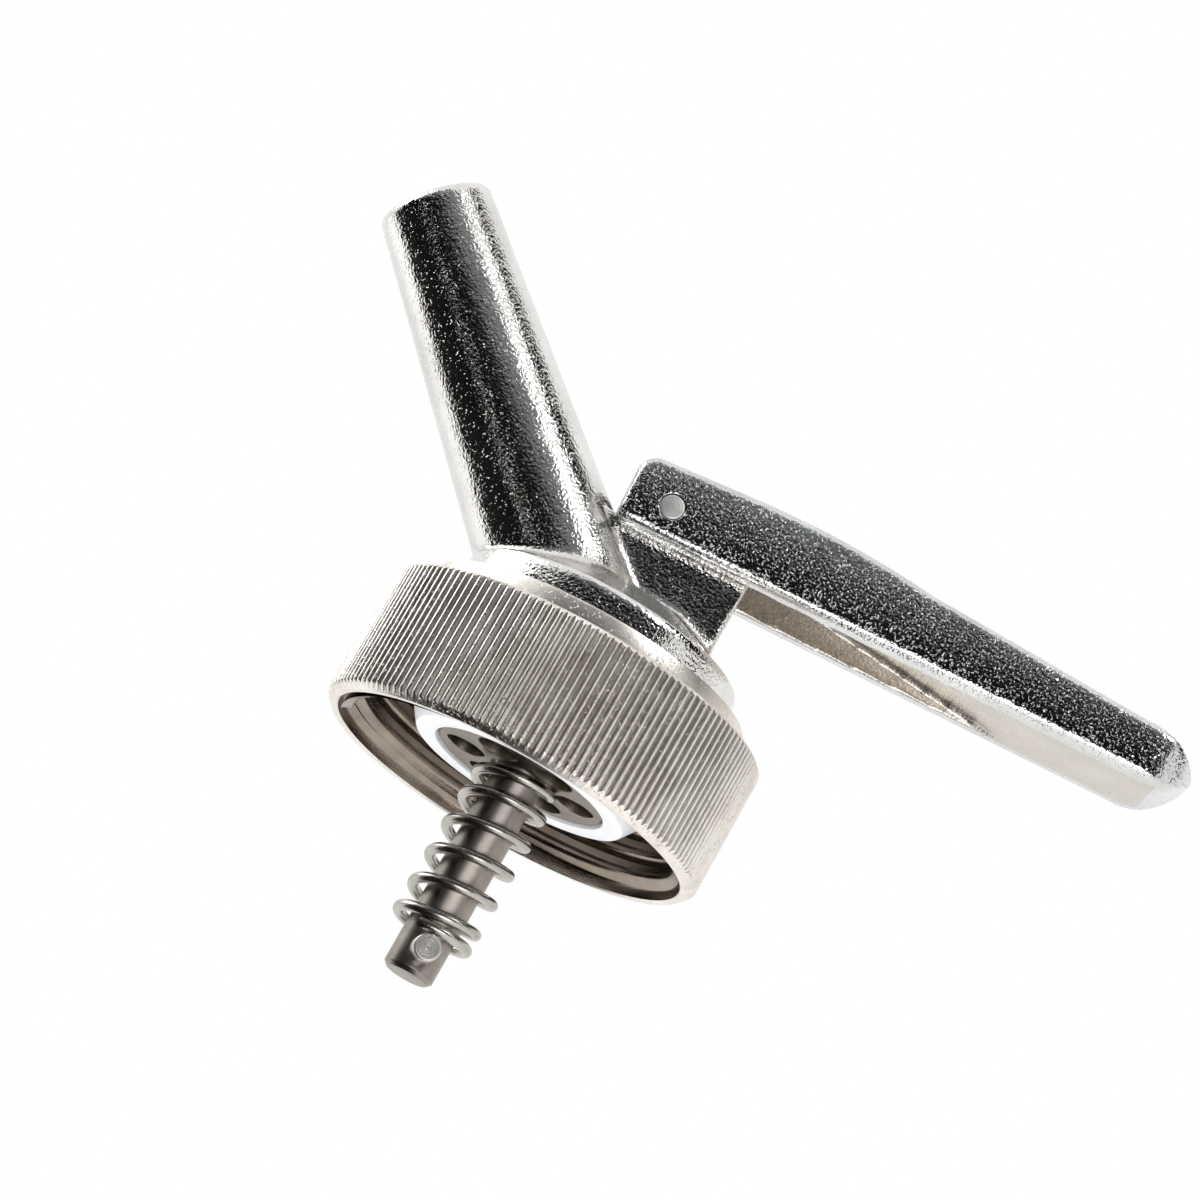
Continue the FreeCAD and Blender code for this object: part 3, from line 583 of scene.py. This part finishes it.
# The flow holes are drilled out to the barrel's bore and the hub, with a very fine edge.
FLOW_HOLES = 6
FLOW_HOLE_RADIUS = 2.95 * MM
FLOW_HOLE_CIRCLE = 8.6 * MM
PLATE_BOTTOM = 3.6 * MM
PLATE_TOP = 7.2 * MM
HOLE_EDGE = 0.10 * MM
# Upright walls inside this radius are drilled ones.
DRILLED_WITHIN = 12 * MM
insert = copy_of_node("valve_insert", "perforated_valve_insert")
for turn in range(FLOW_HOLES):
    angle = 2 * math.pi * turn / FLOW_HOLES
    drill(insert, FLOW_HOLE_RADIUS, PLATE_TOP - PLATE_BOTTOM + 2 * MM,
          (FLOW_HOLE_CIRCLE * math.cos(angle), FLOW_HOLE_CIRCLE * math.sin(angle),
           (PLATE_BOTTOM + PLATE_TOP) / 2), 64)
soften_edges(insert, HOLE_EDGE)
insert.data.materials.append(turned_nickel("turned_nickel_insert", ("#756B62", "#897F75"),
                                           0.36, 0.5))
# The drilled walls are lighter than the faces.
insert.data.materials.append(turned_nickel("turned_nickel_drilled", ("#93897E", "#A59B90"),
                                           0.30, 0.5))
for face in insert.data.polygons:
    out = math.hypot(face.center.x, face.center.y)
    if abs(face.normal.z) < 0.9 and out < DRILLED_WITHIN:
        face.material_index = 1
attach(insert, "tap_body")
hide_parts("valve_insert")


# ---- Stem, spring and pins ----------------------------------------------------------------
# A turned stainless stem, a spring of bright drawn wire that rests on a cross pin, and the
# flush pin that joins stem and lever.
def stainless(name, shades, roughness, along):
    """Stainless steel, finely turned or ground: grey, with faint marks."""
    material, tree, shader = new_material(name)
    place = add_node(tree, "ShaderNodeTexCoord").outputs["Object"]
    stretch = add_node(tree, "ShaderNodeMapping", {0: place, "Scale": along}).outputs[0]
    normal = relief(tree, noise(tree, stretch, 2500.0, 3.0), 0.02, 0.5)
    cloud = noise(tree, place, 350.0, 4.0)
    colour = two_tone(tree, cloud, shades)
    gloss = spread(tree, cloud, roughness - 0.05, roughness + 0.07)
    return finish_metal(material, tree, shader, colour, gloss, normal)


def faced_steel(name, shades, roughness, height, turn):
    """Steel pin with its ends turned flat: fine rings about the pin's own axis, along Y."""
    material, tree, shader = new_material(name)
    place = add_node(tree, "ShaderNodeTexCoord").outputs["Object"]
    level = add_node(tree, "ShaderNodeMapping", {0: place, "Rotation": (0, 0, -turn),
                                                "Location": (0, 0, -height)})
    split = add_node(tree, "ShaderNodeSeparateXYZ", {0: level.outputs[0]})
    flat = add_node(tree, "ShaderNodeCombineXYZ", {0: split.outputs[0], 2: split.outputs[2]})
    radius = add_node(tree, "ShaderNodeVectorMath", {0: flat.outputs[0]}, operation="LENGTH")
    rings = add_node(tree, "ShaderNodeCombineXYZ", {0: radius.outputs["Value"]}).outputs[0]
    lines = noise(tree, rings, 5000.0, 2.0)
    normal = relief(tree, lines, 0.05)
    normal = relief(tree, noise(tree, place, 4000.0, 2.0), 0.03, 0.5, over=normal)
    colour = two_tone(tree, lines, shades, 0.35, 0.65)
    return finish_metal(material, tree, shader, colour, roughness, normal)


stem = copy_of_node("valve_stem", "turned_stem")
soften_edges(stem, 0.15 * MM)
stem.data.materials.append(stainless("turned_stainless", ("#88817A", "#A19A93"), 0.32,
                                     (0.3, 0.3, 2.0)))
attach(stem, "stem")
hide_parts("valve_stem")

spring_steel = stainless("drawn_spring_wire", ("#A7A29C", "#BFBBB5"), 0.25, (1.0, 1.0, 1.0))
# The spring is held at the plate.
spring = copy_of_node("return_spring", "return_spring_wire")
smooth_shading(spring, 50)
spring.data.materials.append(spring_steel)
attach(spring, "tap_body")
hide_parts("return_spring")
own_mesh(spring)

CROSS_PIN_RADIUS = 1.95 * MM
CROSS_PIN_HALF = 6.4 * MM
CROSS_PIN_EDGE = 0.28 * MM
CROSS_PIN_INSET = 0.05 * MM
CROSS_PIN_HEIGHT = -24.8 * MM
CROSS_PIN_TURN = math.radians(7.0)
deselect()
bpy.ops.mesh.primitive_cylinder_add(vertices=64, radius=CROSS_PIN_RADIUS,
                                    depth=2 * CROSS_PIN_HALF)
cross_pin = bpy.context.object
cross_pin.name = "spring_rest_pin"
bpy.ops.object.mode_set(mode="EDIT")
bpy.ops.mesh.select_all(action="DESELECT")
edit = bmesh.from_edit_mesh(cross_pin.data)
for face in edit.faces:
    face.select = abs(face.normal.z) > 0.9
bmesh.update_edit_mesh(cross_pin.data)
bpy.ops.mesh.bevel(offset=CROSS_PIN_EDGE, segments=3)
edit = bmesh.from_edit_mesh(cross_pin.data)
for face in edit.faces:
    face.select = abs(face.normal.z) > 0.999
bmesh.update_edit_mesh(cross_pin.data)
bpy.ops.mesh.inset(thickness=CROSS_PIN_INSET, use_individual=True)
bpy.ops.object.mode_set(mode="OBJECT")
cross_pin.data.transform(Matrix.Translation((0, 0, CROSS_PIN_HEIGHT))
                         @ Matrix.Rotation(CROSS_PIN_TURN, 4, "Z")
                         @ Matrix.Rotation(math.radians(90), 4, "X"))
smooth_shading(cross_pin, 35)
cross_pin.data.materials.append(faced_steel("turned_pin_steel", ("#BFBBB5", "#DEDBD6"), 0.38,
                                            CROSS_PIN_HEIGHT, CROSS_PIN_TURN))
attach(cross_pin, "stem")
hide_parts("spring_cross_pin")

link_pin = copy_of_node("link_pin", "flush_link_pin")
soften_edges(link_pin, 0.06 * MM)
link_pin.data.materials.append(faced_steel("ground_pin_steel", ("#E6E4E1", "#F3F1EE"), 0.45,
                                           LINK_PIN_HEIGHT, 0.0))
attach(link_pin, "handle")
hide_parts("link_pin")


# ---- Inner pieces -------------------------------------------------------------------------
# Guide bush, valve washer, disc, clip and the stem's gland: small standard pieces that are
# seen only through the drilled plate or under the lever.
def black_rubber():
    """Moulded rubber: near black, dull, with a slight bloom."""
    material, tree, shader = new_material("black_rubber")
    place = add_node(tree, "ShaderNodeTexCoord").outputs["Object"]
    bloom = noise(tree, place, 600.0, 4.0)
    colour = two_tone(tree, bloom, ("#161616", "#2A2A2A"), 0.0, 1.0)
    tree.links.new(colour, shader.inputs["Base Color"])
    tree.links.new(relief(tree, bloom, 0.02, 0.5), shader.inputs["Normal"])
    shader.inputs["Roughness"].default_value = 0.6
    return material


rubber = black_rubber()
plain_brass = turned_nickel("turned_brass", ("#C9A763", "#D9BA78"), 0.30, 0.5)
guide_plastic = white_polyethylene()
guide_plastic.name = "white_bush_plastic"
INNER_FINISHES = {
    "stem_guide": guide_plastic, "valve_washer": rubber, "valve_disc": plain_brass,
    "stem_clip": spring_steel, "lower_o_ring": rubber, "upper_o_ring": rubber,
    "gland_spacer": plain_brass, "gland_bush": plain_brass,
}
for node, finish in INNER_FINISHES.items():
    dress_node(node, finish)
